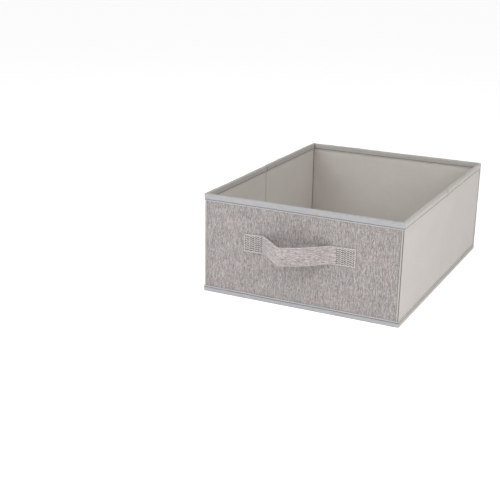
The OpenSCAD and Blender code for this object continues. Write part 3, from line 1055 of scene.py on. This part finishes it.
# ---- base insert and bottom cloth
def cushion(name, low, high, edge, step, lift, seed):
    """A thin flat block with rolled edges and faint unevenness on top, as one closed mesh."""
    roll = edge * (1 - np.cos(np.linspace(0, math.pi / 2, 6)))

    def marks(a, b):
        middle = np.linspace(a + edge, b - edge, round((b - a - 2 * edge) / step) + 1)
        return np.concatenate([a + roll[:-1], middle, (b - roll[:-1])[::-1]])

    xs, ys = marks(low.x, high.x), marks(low.y, high.y)
    gx, gy = np.meshgrid(xs, ys, indexing="ij")
    off = np.minimum.reduce([gx - low.x, high.x - gx, gy - low.y, high.y - gy])
    inside = np.clip((edge - off) / edge, 0, 1)
    drop = (high.z - low.z) / 2 * (1 - np.sqrt(1 - inside**2))
    swell = lift * (0.5 + 0.5 * waves(gx, gy, 60 * MM, seed)) * ease(off / (12 * MM))
    sheets = [high.z - drop + swell, low.z + drop]
    points, cloth = [], []
    for z in sheets:
        points += np.stack([gx, gy, z], axis=-1).reshape(-1, 3).tolist()
        cloth += np.stack([gx, gy, 0 * gx], axis=-1).reshape(-1, 3).tolist()
    nx, ny = gx.shape
    faces = []
    for i in range(nx - 1):
        for j in range(ny - 1):
            a = i * ny + j
            faces.append((a, a + ny, a + ny + 1, a + 1))
            faces.append(tuple(p + nx * ny for p in (a, a + 1, a + ny + 1, a + ny)))
    border = [i * ny for i in range(nx)] + [(nx - 1) * ny + j for j in range(1, ny)]
    border += [i * ny + ny - 1 for i in range(nx - 2, -1, -1)] + list(range(ny - 2, 0, -1))
    for p, q in zip(border, border[1:] + border[:1]):
        faces.append((q, p, p + nx * ny, q + nx * ny))
    return make_piece(name, points, faces, cloth, np.zeros(len(points)))


insert = cushion("base_insert_cloth", insert_low, insert_high, 1.4 * MM, 8 * MM, 0.12 * MM, 81)
SEAM_IN = 5 * MM  # from the insert's edge to its seam
SEAM_SUNK = 0.2 * MM  # keeps the seam clear of the walls that fold over it
seam_x, seam_y = insert_high.x - SEAM_IN, insert_high.y - SEAM_IN
seam_z = insert_high.z - SEAM_SUNK
stitches = Thread(THREAD)
for half_long, other, along_x in ((seam_x, seam_y, True), (seam_y, seam_x, False)):
    for side in (-1, 1):
        for i in range(int(2 * half_long / STITCH_PITCH)):
            start = i * STITCH_PITCH - half_long
            ends = [(t, side * other, seam_z) if along_x else (side * other, t, seam_z)
                    for t in (start, start + STITCH)]
            stitches.stitch(*ends, (0, 0, 1))
sew_on(stitches, "base_insert_stitches", "thread", "insert")
dress(insert, "lining", ["insert_cover"])
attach(insert, "insert")
bottom = cushion("bottom_cloth", base_low, base_high, 0.4 * MM, 12 * MM, 0.0, 83)
dress(bottom, "side_fabric", ["bottom_cover"])
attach(bottom, "shell")

# ---- CAD boards
for name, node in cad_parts.items():
    if name.endswith("_board"):
        node.data.materials.clear()
        node.data.materials.append(FINISHES["board"])

# ---- floor, light and camera
FLOOR = 12.0  # half of the floor's width
FLOOR_Z = -0.05 * MM
FLOOR_GREY = 0.93
FLOOR_GLOW = 0.42  # the floor's own light, which keeps it white far from the lamps
AMBIENT = 0.58  # the world's strength as a light
BACKDROP = 0.42  # added to it where the camera sees the world

floor_mesh = bpy.data.meshes.new("floor")
corners = [(x * FLOOR, y * FLOOR, FLOOR_Z) for x, y in ((-1, -1), (1, -1), (1, 1), (-1, 1))]
floor_mesh.from_pydata(corners, [], [(0, 1, 2, 3)])
floor = put("floor", floor_mesh)
pale = bpy.data.materials.new("pale_floor")
pale.use_nodes = True
for key, value in (("Base Color", (FLOOR_GREY, FLOOR_GREY, FLOOR_GREY, 1)), ("Roughness", 0.9),
                   ("Emission Color", (1, 1, 1, 1)), ("Emission Strength", FLOOR_GLOW)):
    pale.node_tree.nodes["Principled BSDF"].inputs[key].default_value = value
floor_mesh.materials.append(pale)

world = bpy.data.worlds.new("studio")
world.use_nodes = True
nodes, links = world.node_tree.nodes, world.node_tree.links
nodes["Background"].inputs["Color"].default_value = (1, 1, 1, 1)
# Dimmer as a light than as a backdrop, which the camera sees as white as the floor
is_camera = nodes.new("ShaderNodeLightPath").outputs["Is Camera Ray"]
strength = nodes.new("ShaderNodeMath")
strength.operation = "MULTIPLY_ADD"
strength.inputs[1].default_value = BACKDROP
strength.inputs[2].default_value = AMBIENT
links.new(is_camera, strength.inputs[0])
links.new(strength.outputs[0], nodes["Background"].inputs["Strength"])
bpy.context.scene.world = world


def softbox(name, position, target, size, watts, colour):
    """A square area light that faces a point."""
    light = bpy.data.lights.new(name, "AREA")
    light.size, light.energy, light.color = size, watts, colour
    lamp = put(name, light)
    lamp.location = position
    towards = Vector(target) - Vector(position)
    lamp.rotation_euler = towards.to_track_quat("-Z", "Y").to_euler()


MIDDLE = (0, 0, 0.08)  # of the bin, where the lamps point
softbox("key", (-0.65, -1.0, 0.85), MIDDLE, 0.9, 7.45, (0.96, 0.985, 1.0))
softbox("side_fill", (0.8, -0.75, 0.55), MIDDLE, 0.5, 1.6, (1.0, 0.985, 0.965))
softbox("top", (0.9, -0.5, 1.0), MIDDLE, 0.8, 4.9, (1.0, 0.985, 0.96))

# The studio camera: where it stands, how it looks down on the bin, and its slight lean
CAMERA_AT = (0.525, -1.433, 0.525)
TURN, DOWN, LEAN = math.radians(26.03), math.radians(18.17), math.radians(1.13)
SENSOR, LENS = 36, 72.2  # mm
camera_data = bpy.data.cameras.new("camera")
camera_data.sensor_width, camera_data.lens = SENSOR, LENS
camera = put("camera", camera_data)
turned = Matrix.Rotation(TURN, 4, "Z")
tipped = Matrix.Rotation(math.pi / 2 - DOWN, 4, "X")
camera.matrix_world = Matrix.Translation(CAMERA_AT) @ turned @ tipped @ Matrix.Rotation(LEAN, 4, "Z")
bpy.context.scene.camera = camera
bpy.context.scene.view_settings.view_transform = "Standard"
